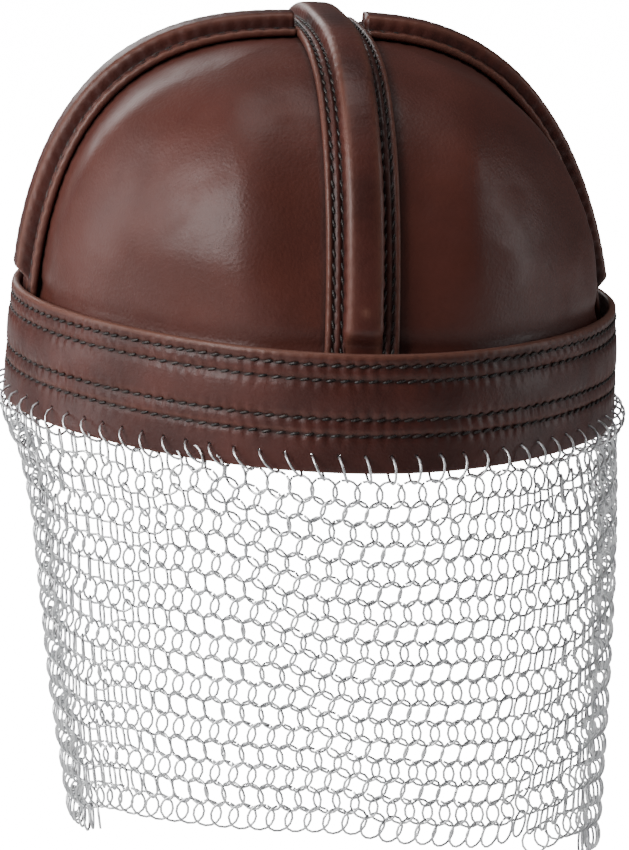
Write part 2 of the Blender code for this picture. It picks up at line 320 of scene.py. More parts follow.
@dataclass
class Effects:
    """The shader groups that several finishes share, each built once."""

    grain: bpy.types.NodeTree = field(init=False)
    wear_and_highlight: bpy.types.NodeTree = field(init=False)
    dust: bpy.types.NodeTree = field(init=False)

    def __post_init__(self) -> None:
        """Build the groups."""
        self.grain = self.build_grain()
        self.wear_and_highlight = self.build_wear_and_highlight()
        self.dust = self.build_dust()

    @staticmethod
    def build_grain() -> bpy.types.NodeTree:
        """Pebbled leather grain: a height, and a tone that varies slowly.

        Returns:
            The group's tree, with outputs Height and Tone.
        """
        made = new_group("leather_grain", {"Pebbles": 900.0, "Creases": 90.0}, ("Height", "Tone"))
        given = made.add("NodeGroupInput")
        place = made.place()
        pebbles = made.cells(place, given.outputs["Pebbles"], "SMOOTH_F1")
        pores = made.noise(place, made.math("MULTIPLY", given.outputs["Pebbles"], 1.9))
        creases = made.noise(place, given.outputs["Creases"], 5.0)
        height = made.math("MULTIPLY", pebbles, -0.55)
        height = made.math("ADD", height, made.math("MULTIPLY", pores, 0.35))
        height = made.math("ADD", height, made.math("MULTIPLY", creases, 1.1))
        tone = made.noise(place, 38.0, 4.0)
        result = made.add("NodeGroupOutput")
        made.feed(result.inputs["Height"], height)
        made.feed(result.inputs["Tone"], tone)
        return made.tree

    @staticmethod
    def build_wear_and_highlight() -> bpy.types.NodeTree:
        """Lightened raised edges and fold tops: partly rubbed places and partly painted highlight, broken up
        by noise.

        Returns:
            The group's tree, with input Edge and output Mask.
        """
        made = new_group("edge_wear_and_highlight", {"Edge": 0.0, "Scale": 260.0, "Amount": 0.5}, ("Mask",))
        given = made.add("NodeGroupInput")
        speckle = made.noise(made.place(), given.outputs["Scale"], 6.0)
        broken = made.band(made.math("ADD", speckle, given.outputs["Amount"]), 0.62, 1.0)
        result = made.add("NodeGroupOutput")
        made.feed(result.inputs["Mask"], made.math("MULTIPLY", given.outputs["Edge"], broken))
        return made.tree

    @staticmethod
    def build_dust() -> bpy.types.NodeTree:
        """Smears and fine specks that dull a gloss.

        Returns:
            The group's tree, with outputs Smear and Specks.
        """
        made = new_group("smears", {"Scale": 60.0}, ("Smear", "Specks"))
        given = made.add("NodeGroupInput")
        place = made.place()
        smear = made.noise(place, given.outputs["Scale"], 5.0)
        fine = made.noise(place, made.math("MULTIPLY", given.outputs["Scale"], 24.0), 2.0)
        result = made.add("NodeGroupOutput")
        made.feed(result.inputs["Smear"], made.band(smear, 0.42, 0.72))
        made.feed(result.inputs["Specks"], made.band(fine, 0.66, 0.76))
        return made.tree


Colour = tuple[float, float, float, float]


@dataclass(frozen=True)
class LeatherFinish:
    """Glossy dyed leather with a pebbled grain, painted shade in its creases and grooves, and edges
    lightened partly where rubbed and partly as painted highlight.
    """

    name: str
    base: Colour
    deep: Colour
    # The rubbed colour also serves as painted highlight on raised edges and fold tops.
    rubbed: Colour
    raw_edge: Colour
    roughness: float = 0.42
    coat: float = 0.10
    shine: float = 0.32
    coat_roughness: float = 0.24
    pebbles: float = 900.0
    grain_depth: float = 0.00016

    def build(self, effects: Effects) -> bpy.types.Material:
        """Make the material.

        Args:
            effects: The shared shader groups.

        Returns:
            The leather.
        """
        material = bpy.data.materials.new(self.name)
        material.use_nodes = True
        made = Tree(material.node_tree)
        shader = material.node_tree.nodes["Principled BSDF"]
        grain = made.add("ShaderNodeGroup", node_tree=effects.grain)
        grain.inputs["Pebbles"].default_value = self.pebbles
        wear_and_highlight = made.add("ShaderNodeGroup", node_tree=effects.wear_and_highlight)
        smears = made.add("ShaderNodeGroup", node_tree=effects.dust)
        edge = made.add("ShaderNodeAttribute", attribute_name="edge").outputs["Fac"]
        crease = made.add("ShaderNodeAttribute", attribute_name="crease").outputs["Fac"]
        raw = made.add("ShaderNodeAttribute", attribute_name="raw").outputs["Fac"]
        made.feed(wear_and_highlight.inputs["Edge"], edge)
        tone = made.band(grain.outputs["Tone"], 0.30, 0.72)
        colour = made.blend(tone, self.deep, self.base)
        # Painted shade: the leather turns near black in its grooves, along the stitch lines and where the
        # gores run under the strips.
        colour = made.blend(made.math("MULTIPLY", crease, 0.75), colour, (0.008, 0.004, 0.003, 1.0))
        # Lightened edges and fold tops, partly where the leather is rubbed and partly as painted highlight.
        colour = made.blend(made.math("MULTIPLY", wear_and_highlight.outputs["Mask"], 0.55), colour, self.rubbed)
        colour = made.blend(raw, colour, self.raw_edge)
        made.feed(shader.inputs["Base Color"], colour)
        dull = made.math("MULTIPLY", smears.outputs["Smear"], 0.10)
        rough = made.math("ADD", made.math("ADD", dull, self.roughness), made.math("MULTIPLY", crease, 0.25))
        rough = made.math("ADD", rough, made.math("MULTIPLY", raw, 0.2))
        made.feed(shader.inputs["Roughness"], rough)
        shader.inputs["Coat Roughness"].default_value = self.coat_roughness
        shader.inputs["Specular IOR Level"].default_value = self.shine
        made.feed(shader.inputs["Coat Weight"], made.math("SUBTRACT", self.coat, dull))
        lift = made.add("ShaderNodeBump")
        lift.inputs["Strength"].default_value = 1.0
        lift.inputs["Distance"].default_value = self.grain_depth
        made.feed(lift.inputs["Height"], grain.outputs["Height"])
        made.feed(shader.inputs["Normal"], lift.outputs["Normal"])
        return material


@dataclass(frozen=True)
class ThreadFinish:
    """Dark waxed thread with the twist of its strands."""

    name: str = "waxed_thread"
    dark: Colour = (0.012, 0.008, 0.007, 1.0)
    light: Colour = (0.055, 0.040, 0.034, 1.0)
    roughness: float = 0.38

    def build(self, effects: Effects) -> bpy.types.Material:
        """Make the material.

        Args:
            effects: The shared shader groups.

        Returns:
            The thread.
        """
        material = bpy.data.materials.new(self.name)
        material.use_nodes = True
        made = Tree(material.node_tree)
        shader = material.node_tree.nodes["Principled BSDF"]
        smears = made.add("ShaderNodeGroup", node_tree=effects.dust)
        smears.inputs["Scale"].default_value = 400.0
        made.feed(shader.inputs["Base Color"], made.blend(smears.outputs["Smear"], self.dark, self.light))
        rough = made.math("MULTIPLY", smears.outputs["Smear"], 0.2)
        made.feed(shader.inputs["Roughness"], made.math("ADD", rough, self.roughness))
        twist = made.add("ShaderNodeTexWave", bands_direction="DIAGONAL")
        made.feed(twist.inputs["Vector"], made.place())
        twist.inputs["Scale"].default_value = 900.0
        lift = made.add("ShaderNodeBump")
        lift.inputs["Distance"].default_value = 0.00008
        made.feed(lift.inputs["Height"], twist.outputs["Fac"])
        made.feed(shader.inputs["Normal"], lift.outputs["Normal"])
        return material


@dataclass(frozen=True)
class SteelFinish:
    """Bright zinc on round wire, each ring a little different from the next."""

    name: str = "zinc_on_wire"
    bright: Colour = (0.93, 0.94, 0.95, 1.0)
    dull: Colour = (0.66, 0.67, 0.69, 1.0)
    stain: Colour = (0.20, 0.20, 0.21, 1.0)
    roughness: float = 0.27

    def build(self, effects: Effects) -> bpy.types.Material:
        """Make the material.

        Args:
            effects: The shared shader groups.

        Returns:
            The plated steel.
        """
        material = bpy.data.materials.new(self.name)
        material.use_nodes = True
        made = Tree(material.node_tree)
        shader = material.node_tree.nodes["Principled BSDF"]
        shader.inputs["Metallic"].default_value = 1.0
        tone = made.add("ShaderNodeAttribute", attribute_name="tone").outputs["Fac"]
        smears = made.add("ShaderNodeGroup", node_tree=effects.dust)
        smears.inputs["Scale"].default_value = 240.0
        colour = made.blend(tone, self.bright, self.dull)
        spots = made.math("MULTIPLY", smears.outputs["Specks"], 0.7)
        made.feed(shader.inputs["Base Color"], made.blend(spots, colour, self.stain))
        rough = made.math("ADD", made.math("MULTIPLY", smears.outputs["Smear"], 0.18), self.roughness)
        made.feed(shader.inputs["Roughness"], made.math("ADD", rough, made.math("MULTIPLY", tone, 0.12)))
        lift = made.add("ShaderNodeBump")
        lift.inputs["Distance"].default_value = 0.00003
        made.feed(lift.inputs["Height"], smears.outputs["Smear"])
        made.feed(shader.inputs["Normal"], lift.outputs["Normal"])
        return material


@dataclass(frozen=True)
class FloorFinish:
    """Matt white board with the faintest unevenness."""

    name: str = "white_board"
    glow: float = 16.0

    def build(self) -> bpy.types.Material:
        """Make the material.

        Returns:
            The board.
        """
        material = bpy.data.materials.new(self.name)
        material.use_nodes = True
        made = Tree(material.node_tree)
        shader = material.node_tree.nodes["Principled BSDF"]
        patch = made.noise(made.place(), 3.0)
        made.feed(
            shader.inputs["Base Color"],
            made.blend(patch, (0.78, 0.78, 0.78, 1.0), (0.81, 0.81, 0.81, 1.0)),
        )
        shader.inputs["Roughness"].default_value = 0.9
        seen = made.add("ShaderNodeLightPath").outputs["Is Camera Ray"]
        made.feed(
            shader.inputs["Emission Color"],
            made.blend(seen, (0.0, 0.0, 0.0, 1.0), (1.0, 1.0, 1.0, 1.0)),
        )
        shader.inputs["Emission Strength"].default_value = self.glow
        return material


# The crown's form, which gores and ridges share.


@dataclass(frozen=True)
class CrownForm:
    """The outer face of the crown: the seam form, and the fuller form between the seams."""

    half_width: float = 0.0994
    half_length: float = 0.1090
    foot: float = 0.009
    top: float = 0.1302
    rim_power: float = 3.0
    left_power: float = 2.8
    right_power: float = 1.85
    end_power: float = 2.2
    plan_fullness: float = -0.038
    bulge: float = 0.0026
    bulge_above: float = 0.0022
    bulge_plan_gain: float = 0.024
    bulge_shoulder_gain: float = 0.35
    bulge_rise: float = 0.030
    bulge_start: float = 0.0135
    bulge_run: float = 0.026
    band_height: float = 0.040

    def shoulder(self, x: float, y: float) -> float:
        """The upright power in this direction, blended between the four seams."""
        side = self.left_power if x > 0.0 else self.right_power
        span = (x / self.half_width) ** 2 + (y / self.half_length) ** 2
        share = 0.5 if span == 0.0 else (x / self.half_width) ** 2 / span
        return side * share + self.end_power * (1.0 - share)

    def point(self, angle: float, rise: float, fuller: float) -> Vector:
        """A point on the crown's outer face.

        Args:
            angle: The direction in plan.
            rise: 0 at the foot and 1 at the top.
            fuller: 0 on the seam form and 1 on the fuller form.

        Returns:
            The point.
        """
        turn = rise * math.pi / 2.0
        facing = Plan(self.half_width, self.half_length, self.plan_fullness).point(angle)
        upright = self.shoulder(facing.x, facing.y) + self.bulge_shoulder_gain * fuller
        height = self.foot + (self.top - self.foot) * math.sin(turn) ** (2.0 / upright)
        free = ease((height - self.band_height) / self.bulge_rise)
        added = (self.bulge + self.bulge_above * free) * fuller
        fullness = self.plan_fullness + self.bulge_plan_gain * free * fuller
        flat = Plan(self.half_width, self.half_length, fullness).point(angle, added)
        flat *= max(math.cos(turn), 0.0) ** (2.0 / self.rim_power)
        flat.z = height
        return flat

    def field(self, spot: Vector) -> float:
        """Below 0 inside the seam form, 0 on it and above 0 outside."""
        across = spot.x / self.half_width
        along = spot.y / self.half_length
        swell = 1.0 + self.plan_fullness * math.sin(2.0 * math.atan2(along, across)) ** 2
        height = max((spot.z - self.foot) / (self.top - self.foot), 0.0)
        upright = self.shoulder(spot.x, spot.y)
        return (math.hypot(across, along) / swell) ** self.rim_power + height**upright - 1.0

    def drop(self, start: Vector, inward: Vector) -> Vector:
        """Where a ray from outside meets the seam form."""
        near, far = 0.0, 0.06
        for _ in range(22):
            middle = (near + far) / 2.0
            if self.field(start + inward * middle) > 0.0:
                near = middle
            else:
                far = middle
        return start + inward * near

    def solve(self, test: Callable[[Vector], bool], angle: float) -> float:
        """The rise at which the seam form first passes a test, going up."""
        low, high = 0.0, 1.0
        for _ in range(26):
            middle = (low + high) / 2.0
            if test(self.point(angle, middle, 0.0)):
                high = middle
            else:
                low = middle
        return high

    def path(self, angle: float, first: float, last: float, steps: int) -> list[Vector]:
        """Points up a seam that stand evenly along it.

        Args:
            angle: The seam's direction in plan.
            first: The rise to start from.
            last: The rise to end at.
            steps: How many equal lengths lie between them.

        Returns:
            One point more than there are steps.
        """
        fine = 12 * steps
        rises = [first + (last - first) * index / fine for index in range(fine + 1)]
        spots = [self.point(angle, rise, 0.0) for rise in rises]
        lengths = [0.0]
        for before, after in zip(spots, spots[1:]):
            lengths.append(lengths[-1] + (after - before).length)
        picked, index = [], 0
        for step in range(steps + 1):
            wanted = lengths[-1] * step / steps
            while index < fine - 1 and lengths[index + 1] < wanted:
                index += 1
            span = lengths[index + 1] - lengths[index]
            share = (wanted - lengths[index]) / span if span else 0.0
            picked.append(spots[index].lerp(spots[index + 1], share))
        return picked


@dataclass
class Crown:
    """The four moulded gores."""

    form: CrownForm
    columns: int = 96
    rows: int = 96
    seam_half_gap: float = 0.0004
    apex_hole: float = 0.0015
    wall: float = 0.0026
    strip_half_width: float = 0.0123
    stitch_pitch: float = 0.0047

    def relief(self, spot: Vector) -> float:
        """How far hand moulding and sewing move the leather in or out here."""
        lift = 0.00024 * unevenness(spot, 0.034, 3.0) + 0.00016 * unevenness(spot, 0.012, 7.0)
        beside = min(abs(spot.x), abs(spot.y)) - self.strip_half_width
        if beside < 0.012:
            along = math.atan2(spot.z, abs(spot.y) if abs(spot.x) < abs(spot.y) else abs(spot.x))
            wave = math.sin(2.0 * math.pi * along * 0.112 / self.stitch_pitch)
            fade = bump(max(beside, 0.0), 0.0032)
            lift += 0.00013 * wave * fade - 0.00045 * fade
        creased = ease((-spot.x - 0.02) / 0.03) * ease((spot.z - 0.05) / 0.02)
        folds = unevenness(Vector((spot.x * 0.55, spot.y, spot.z * 2.3)), 0.010, 11.0)
        lift -= 0.00022 * creased * max(folds, 0.0)
        lift -= 0.0010 * bump(spot.z - 0.041, 0.0035)
        return lift

    def gore(self, quarter: Quarter, material: bpy.types.Material) -> bpy.types.Object:
        """Make one gore.

        Args:
            quarter: Which one.
            material: Its leather.

        Returns:
            The piece.
        """
        turn_x, turn_y = quarter.value
        seam_angle = math.atan2(turn_y, turn_x)
        fine = 24 * self.rows
        spots = [self.form.point(seam_angle, index / fine, 0.0) for index in range(fine + 1)]
        lengths = [0.0]
        for before, after in zip(spots, spots[1:]):
            lengths.append(lengths[-1] + (after - before).length)
        rises, index = [], 0
        for step in range(self.rows + 1):
            while lengths[index] < lengths[-1] * step / self.rows - 1e-9:
                index += 1
            rises.append(index / fine)
        shape = bmesh.new()
        layers = {name: shape.verts.layers.float.new(name) for name in ("edge", "crease", "raw")}
        bmesh.ops.create_grid(shape, x_segments=self.columns, y_segments=self.rows, size=1.0)
        for vertex in shape.verts:
            across = (vertex.co.x + 1.0) / 2.0 * math.pi / 2.0
            rise = rises[round((vertex.co.y + 1.0) / 2.0 * self.rows)]
            angle = math.atan2(turn_y * math.sin(across), turn_x * math.cos(across))
            seam = self.form.point(angle, rise, 0.0)
            near = min(abs(seam.x), abs(seam.y))
            share = ease((near - self.form.bulge_start) / self.form.bulge_run)
            spot = seam.lerp(self.form.point(angle, rise, 1.0), share)
            reach = math.hypot(spot.x, spot.y)
            if reach < self.apex_hole:
                spot.x = turn_x * self.apex_hole * math.cos(across)
                spot.y = turn_y * self.apex_hole * math.sin(across)
            spot.x = turn_x * max(abs(spot.x), self.seam_half_gap)
            spot.y = turn_y * max(abs(spot.y), self.seam_half_gap)
            vertex.co = spot
        bmesh.ops.remove_doubles(shape, verts=shape.verts, dist=1e-6)
        bmesh.ops.recalc_face_normals(shape, faces=shape.faces)
        face = next(iter(shape.faces))
        if face.normal.dot(face.calc_center_median() - Vector((0.0, 0.0, 0.02))) < 0.0:
            bmesh.ops.reverse_faces(shape, faces=shape.faces)
        shape.normal_update()
        moves = [(vertex, vertex.normal * self.relief(vertex.co)) for vertex in shape.verts]
        for vertex, move in moves:
            beside = min(abs(vertex.co.x), abs(vertex.co.y)) - self.strip_half_width
            # Painted shade where the gore dips under the strips' flanges.
            vertex[layers["crease"]] = 0.8 * bump(max(beside, 0.0), 0.0012)
            vertex.co += move
        piece = finish_piece(quarter.node + "_leather", shape, material, (quarter.node,))
        wall = piece.modifiers.new("Leather wall", "SOLIDIFY")
        wall.thickness = self.wall
        wall.offset = -1.0
        return piece

    def build(self, material: bpy.types.Material) -> list[bpy.types.Object]:
        """Make the four gores."""
        return [self.gore(quarter, material) for quarter in Quarter]


# Stitches.


@dataclass
class Stitches:
    """Sewn thread, gathered as one joined piece of many small stitches."""

    length: float = 0.0034
    width: float = 0.00105
    slant: float = math.radians(17.0)
    shape: bmesh.types.BMesh = field(default_factory=bmesh.new)

    def sew(self, spot: Vector, along: Vector, out: Vector, turn: float = 1.0) -> None:
        """Add one stitch.

        Args:
            spot: Its middle, on the leather.
            along: The direction of the seam.
            out: The way out of the leather.
            turn: 1 or -1, which way the stitch slants.
        """
        along = Matrix.Rotation(self.slant * turn, 3, out) @ along.normalized()
        side = out.cross(along).normalized()
        place = Matrix.Identity(4)
        for index, column in enumerate((side, out.normalized(), along)):
            place.col[index].xyz = column
        place.translation = spot
        scale = Matrix.Diagonal((self.width / 2.0, self.width / 2.0, self.length / 2.0, 1.0))
        bmesh.ops.create_uvsphere(self.shape, u_segments=6, v_segments=5, radius=1.0, matrix=place @ scale)

    def build(self, name: str, material: bpy.types.Material) -> bpy.types.Object:
        """Finish the piece."""
        bmesh.ops.recalc_face_normals(self.shape, faces=self.shape.faces)
        return finish_piece(name, self.shape, material)


# Ridges.


@dataclass(frozen=True)
class SectionPoint:
    """One point of a strip's section: where it is, how much it puckers, how far it is lightened where rubbed
    and as painted highlight, and how much painted shade it has in the grooves.
    """

    across: float
    above: float
    pucker: float = 0.0
    edge: float = 0.0
    crease: float = 0.0


# Columns: across, above, pucker, edge (lightening, partly rubbed and partly painted highlight), crease
# (painted shade in the grooves).
HALF_SECTION = (
    SectionPoint(0.01230, 0.0000),
    SectionPoint(0.01250, 0.0007, 0.2, 0.2),
    SectionPoint(0.01245, 0.0015, 0.4, 0.7),
    SectionPoint(0.01205, 0.0022, 0.6, 1.0),
    SectionPoint(0.01140, 0.0024, 0.8, 0.8),
    SectionPoint(0.01070, 0.0021, 0.8, 0.2, 0.2),
    SectionPoint(0.01020, 0.0015, 0.2, 0.0, 0.9),
    SectionPoint(0.00975, 0.0014, 0.2, 0.0, 0.9),
    SectionPoint(0.00925, 0.0019, 0.8, 0.1, 0.2),
    SectionPoint(0.00850, 0.0022, 1.0, 0.2),
    SectionPoint(0.00780, 0.0020, 0.8, 0.0, 0.2),
    SectionPoint(0.00730, 0.0014, 0.3, 0.0, 0.9),
    SectionPoint(0.00690, 0.0014, 0.3, 0.0, 1.0),
    SectionPoint(0.00665, 0.0023, 0.9, 0.0, 0.3),
    SectionPoint(0.00655, 0.0034, 1.2),
    SectionPoint(0.00640, 0.0045, 1.0, 0.1),
    SectionPoint(0.00605, 0.0055, 0.7, 0.5),
    SectionPoint(0.00545, 0.0062, 0.4, 0.9),
    SectionPoint(0.00465, 0.0066, 0.3, 0.7),
    SectionPoint(0.00350, 0.00675, 0.3, 0.2),
    SectionPoint(0.00180, 0.0068, 0.3),
)
UNDERSIDE = (SectionPoint(-0.0062, 0.0), SectionPoint(0.0, 0.0), SectionPoint(0.0062, 0.0))


@dataclass
class Ridges:
    """The padded ridges over the seams, on their sewn strips."""

    form: CrownForm
    fit: float = 0.0003
    flange: float = 0.0022
    strip_foot: float = 0.027
    ridge_foot: float = 0.0415
    rounding: float = 0.005
    butt: float = 0.0126
    station_length: float = 0.0011
    pitch: float = 0.0047
    pucker: float = 0.00030
    ridge_line: float = 0.0071
    flange_line: float = 0.0100
    scuff_height: float = 0.0535
    scuff_reach: float = 0.0014
    stitches: Stitches = field(default_factory=Stitches)

    def section(self) -> list[SectionPoint]:
        """The whole section, once round: up the low side, over the ridge and under."""
        low = [
            SectionPoint(-p.across, p.above, p.pucker, p.edge, p.crease) for p in HALF_SECTION
        ]
        crest = [SectionPoint(0.0, 0.00685, 0.2)]
        return low + crest + list(reversed(HALF_SECTION)) + list(reversed(UNDERSIDE))

    def outward(self, places: list[Vector], index: int, across: Vector) -> Vector:
        """The way out of the crown at one place of a path."""
        ahead = places[min(index + 1, len(places) - 1)]
        behind = places[max(index - 1, 0)]
        out = across.cross(ahead - behind).normalized()
        return out if out.dot(places[index] - Vector((0.0, 0.0, self.form.foot))) > 0.0 else -out

    def stations(self, places: list[Vector], across: Vector) -> list[list[tuple[Vector, Layers]]]:
        """The section at each place of a path.

        Args:
            places: The path, on the crown.
            across: The direction across the strip.

        Returns:
            One list of placed section points for each place.
        """
        made, length = [], 0.0
        section = self.section()
        for index, place in enumerate(places):
            length += (place - places[index - 1]).length if index else 0.0
            out = self.outward(places, index, across)
            stand = ease((place.z - self.ridge_foot) / self.rounding)
            ring = []
            for point in section:
                foot = self.form.drop(place + across * point.across + out * 0.02, -out)
                above = point.above
                if above > self.flange:
                    above = self.flange + (above - self.flange) * stand
                side = math.copysign(1.0, point.across)
                wave = math.sin(2.0 * math.pi * length / self.pitch + 0.9 * side)
                rough = unevenness(foot + across * point.across, 0.0042, 5.0 + side)
                ripple = self.pucker * point.pucker * (0.55 * wave + 0.75 * rough)
                slow = 0.00035 * unevenness(place, 0.021, 2.0 * side) * min(point.pucker, 0.5)
                steep = 1.0 if 0.0021 < point.above < 0.0052 and abs(point.across) < 0.0070 else 0.0
                spot = foot + out * (self.fit + above + (ripple + slow) * (1.0 - steep))
                spot += across * side * (ripple * 1.1 + slow) * steep
                rubbed = bump(math.hypot(spot.x, spot.z - self.scuff_height), self.scuff_reach)
                rubbed *= 0.8 * (spot.y > 0.0)
                # Besides the real scuff, the section's edge values lighten as rubbing and painted highlight,
                # and its crease values paint shade into the grooves.
                layers = {"edge": max(point.edge, rubbed), "crease": point.crease, "raw": 0.5 * rubbed}
                ring.append((spot, layers))
            made.append(ring)
        return made

    def sew(self, places: list[Vector], across: Vector) -> None:
        """Sew both lines on both flanges of a strip.

        Args:
            places: The path, on the crown.
            across: The direction across the strip.
        """
        for line in (self.flange_line, self.ridge_line):
            for side in (-1.0, 1.0):
                length, wanted = 0.0, 0.5 * self.pitch
                for index in range(1, len(places)):
                    step = places[index] - places[index - 1]
                    length += step.length
                    if length < wanted:
                        continue
                    wanted += self.pitch
                    out = self.outward(places, index, across)
                    foot = self.form.drop(places[index] + across * line * side + out * 0.02, -out)
                    self.stitches.sew(foot + out * (self.fit + 0.00165), step, out, side)

    def strip(
        self,
        node: str,
        places: list[Vector],
        across: Vector,
        material: bpy.types.Material,
    ) -> bpy.types.Object:
        """Make one strip with its ridge.

        Args:
            node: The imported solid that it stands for.
            places: Its path, on the crown.
            across: The direction across it.
            material: Its leather.

        Returns:
            The piece.
        """
        shape = Loft(self.stations(places, across)).build()
        self.sew(places, across)
        return finish_piece(node + "_leather", shape, material, (node,))

    def seam(self, angle: float, reach: float) -> list[Vector]:
        """A path up one seam, from under the headband to this far from the upright axis."""
        first = self.form.solve(lambda spot: spot.z > self.strip_foot, angle)
        last = self.form.solve(lambda spot: spot.xy.length < reach, angle)
        length = 0.165
        return self.form.path(angle, first, last, round(length / self.station_length))

    def build(
        self, leather: bpy.types.Material, thread: bpy.types.Material
    ) -> list[bpy.types.Object]:
        """Make the three strips and their stitches.

        Args:
            leather: What the strips are made of.
            thread: What they are sewn with.

        Returns:
            The pieces.
        """
        back = self.seam(math.pi / 2.0, 0.004)
        front = self.seam(-math.pi / 2.0, 0.004)
        top = [Vector((0.0, 0.0, self.form.top))]
        across_x = Vector((1.0, 0.0, 0.0))
        across_y = Vector((0.0, 1.0, 0.0))
        pieces = [
            self.strip("ridge_front_back", back + top + front[::-1], across_x, leather),
            self.strip("ridge_left", self.seam(0.0, self.butt), across_y, leather),
            self.strip("ridge_right", self.seam(math.pi, self.butt), across_y, leather),
        ]
        pieces.append(self.stitches.build("ridge_stitches", thread))
        return pieces


# Headband.


@dataclass
class Headband:
    """The sewn band round the crown's foot, with a hole for each ring that carries the mail."""

    plan: Plan = Plan(0.1068, 0.1165)
    height: float = 0.040
    taper: float = 0.0018
    wall: float = 0.0026
    stations: int = 860
    lines: tuple[float, ...] = (0.0126, 0.0181, 0.0310, 0.0360)
    pitch: float = 0.0047
    groove: float = 0.00055
    groove_reach: float = 0.00085
    pucker: float = 0.00034
    pucker_reach: float = 0.0027
    puff: float = 0.0006
    stitches: Stitches = field(default_factory=Stitches)
    angles: list[float] = field(default_factory=list)

    def __post_init__(self) -> None:
        """Spread the stations evenly round the plan."""
        self.angles = self.plan.even_angles(0.0, 2.0 * math.pi, self.stations)[:-1]

    def phase(self, station: float) -> float:
        """How far along the pitch of the stitches a station lies, in radians."""
        count = round(0.690 / self.pitch)
        return 2.0 * math.pi * count * station / self.stations

    def relief(self, station: int, height: float, spot: Vector) -> float:
        """How far the sewing moves the outer face in or out here.

        Args:
            station: Where it is round the band.
            height: Where it is up the band.
            spot: The same place as a point, for the unevenness.

        Returns:
            The move outward.
        """
        lift = 0.00035 * unevenness(spot, 0.030, 1.0) + 0.00012 * unevenness(spot, 0.007, 4.0)
        low, high = self.lines[1], self.lines[2]
        lift += self.puff * max(1.0 - ((height - (low + high) / 2.0) / ((high - low) / 2.0)) ** 2, 0.0)
        for index, line in enumerate(self.lines):
            away = height - line
            lift -= self.groove * bump(away, self.groove_reach)
            fold = math.cos(self.phase(station) + 1.3 * index + 2.4 * unevenness(spot, 0.02, 8.0))
            uneven = 0.7 + 0.9 * unevenness(spot, 0.011, 9.0 + index)
            lift += self.pucker * fold * uneven * bump(away, self.pucker_reach) * (away != 0.0)
        return lift

    def heights(self) -> list[float]:
        """Heights up the outer face, closer together beside the stitch lines."""
        spread = {round(0.0010 * step, 5) for step in range(1, 39)}
        near = {round(line + 0.00035 * step, 5) for line in self.lines for step in (-2, -1, 0, 1, 2)}
        spread = {h for h in spread if all(abs(h - n) > 0.0004 for n in near)}
        return sorted(spread | near)

    def section(self, station: int, heights: list[float]) -> list[tuple[Vector, Layers]]:
        """The band's section at one station: up outside, over the top edge and down inside.

        Args:
            station: Which one.
            heights: The heights up the outer face.

        Returns:
            The placed section points.
        """
        angle = self.angles[station]
        ring: list[tuple[Vector, Layers]] = []

        def put(out: float, height: float, **shown: float) -> None:
            spot = self.plan.point(angle, out - self.taper * height / self.height)
            spot.z = height
            ring.append((spot, {"edge": 0.0, "crease": 0.0, "raw": 0.0, **shown}))

        # The edge values along the bottom and top edges lighten them, partly as rubbed leather and partly as
        # painted highlight; raw gives the cut edge its own colour.
        put(-0.0006, 0.0, raw=0.4)
        put(-0.00015, 0.0003, edge=0.6, raw=0.1)
        for height in heights:
            spot = self.plan.point(angle)
            spot.z = height
            lift = self.relief(station, height, spot) * ease(height / 0.002)
            lift *= ease((self.height + 0.0015 - height) / 0.003)
            # Painted shade along the stitch lines, and fold tops just above them lightened partly as rubbed
            # leather and partly as painted highlight.
            crease = max(bump(height - line, 0.0006) for line in self.lines)
            folded = max(bump(height - line - 0.0012, 0.0008) for line in self.lines)
            put(lift, height, crease=crease, edge=0.4 * folded)
        put(-0.0001, self.height - 0.0006, edge=1.0, raw=0.2)
        put(-0.0007, self.height - 0.0001, edge=1.0, raw=0.55)
        put(-0.0014, self.height, raw=0.9)
        put(-self.wall + 0.0005, self.height - 0.0001, raw=0.9)
        for height in (self.height - 0.0008, 0.030, 0.020, 0.010, 0.0008):
            put(-self.wall, height)
        put(-self.wall + 0.0005, 0.0, raw=0.6)
        return ring

    def sew(self) -> None:
        """Sew the four lines of stitches round the band."""
        count = round(0.690 / self.pitch)
        for index, line in enumerate(self.lines):
            for number in range(count):
                station = (number + 0.25 * index) * self.stations / count % self.stations
                angle = self.angles[int(station)]
                out = self.plan.outward(angle)
                spot = self.plan.point(angle, -self.taper * line / self.height - 0.00022)
                spot.z = line
                self.stitches.sew(spot, UP.cross(out), out, 1.0)

    def build(
        self,
        leather: bpy.types.Material,
        thread: bpy.types.Material,
        holes: bpy.types.Object,
    ) -> list[bpy.types.Object]:
        """Make the band and its stitches.

        Args:
            leather: What the band is made of.
            thread: What it is sewn with.
            holes: The rods that cut the ring holes, which are removed here.

        Returns:
            The pieces.
        """
        heights = self.heights()
        sections = [self.section(station, heights) for station in range(self.stations)]
        band = finish_piece("headband_leather", Loft(sections, ring=True).build(), leather, ("headband",))
        cut = band.modifiers.new("Ring holes", "BOOLEAN")
        cut.operation = "DIFFERENCE"
        cut.solver = "EXACT"
        cut.object = holes
        graph = bpy.context.evaluated_depsgraph_get()
        solid = bpy.data.meshes.new_from_object(band.evaluated_get(graph))
        band.modifiers.remove(cut)
        band.data = solid
        bpy.data.objects.remove(holes)
        self.sew()
        return [band, self.stitches.build("headband_stitches", thread)]


# Mail.


